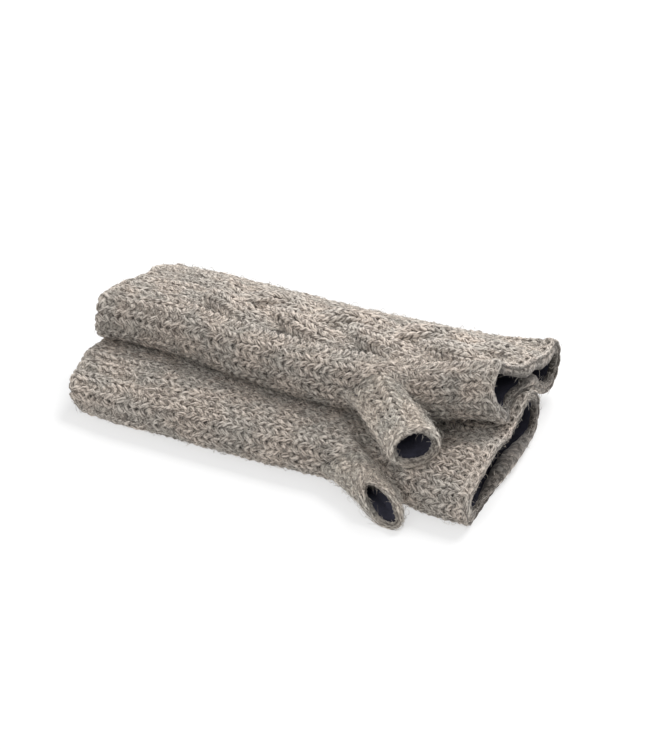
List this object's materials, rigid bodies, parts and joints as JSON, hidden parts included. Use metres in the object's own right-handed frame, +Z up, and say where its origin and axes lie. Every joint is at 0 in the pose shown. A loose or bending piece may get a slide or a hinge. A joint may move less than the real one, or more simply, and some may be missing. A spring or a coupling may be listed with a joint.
{
  "type": "pair of knit hand warmers",
  "caption": "Pair of long fingerless knit hand warmers with ribbed cuffs, a raised plait, short thumbs and a fleece lining, one lying across the other.",
  "frame": {"origin": "middle of the pair's box, on the surface that the lower hand warmer lies on", "axes": "+X from the wrist ends to the finger ends, +Y from the thumbs' side to the far side, +Z up off the surface"},
  "size_m": [0.232, 0.166, 0.0571],
  "materials": {
    "wool": "heathered chunky wool knit, matte and hairy",
    "felted_wool": "lighter wool knit, half felted, matte",
    "fleece": "dark short-pile fleece, matte"
  },
  "bodies": {
    "root": {"lower_cuff": "wool", "lower_back": "wool", "lower_palm": "wool", "lower_bind_off": "wool", "lower_thumb": "felted_wool", "lower_lining": "fleece", "lower_thumb_lining": "fleece", "upper_cuff": "wool", "upper_back": "wool", "upper_palm": "wool", "upper_bind_off": "wool", "upper_thumb": "felted_wool", "upper_lining": "fleece", "upper_thumb_lining": "fleece"}
  },
  "joints": []
}
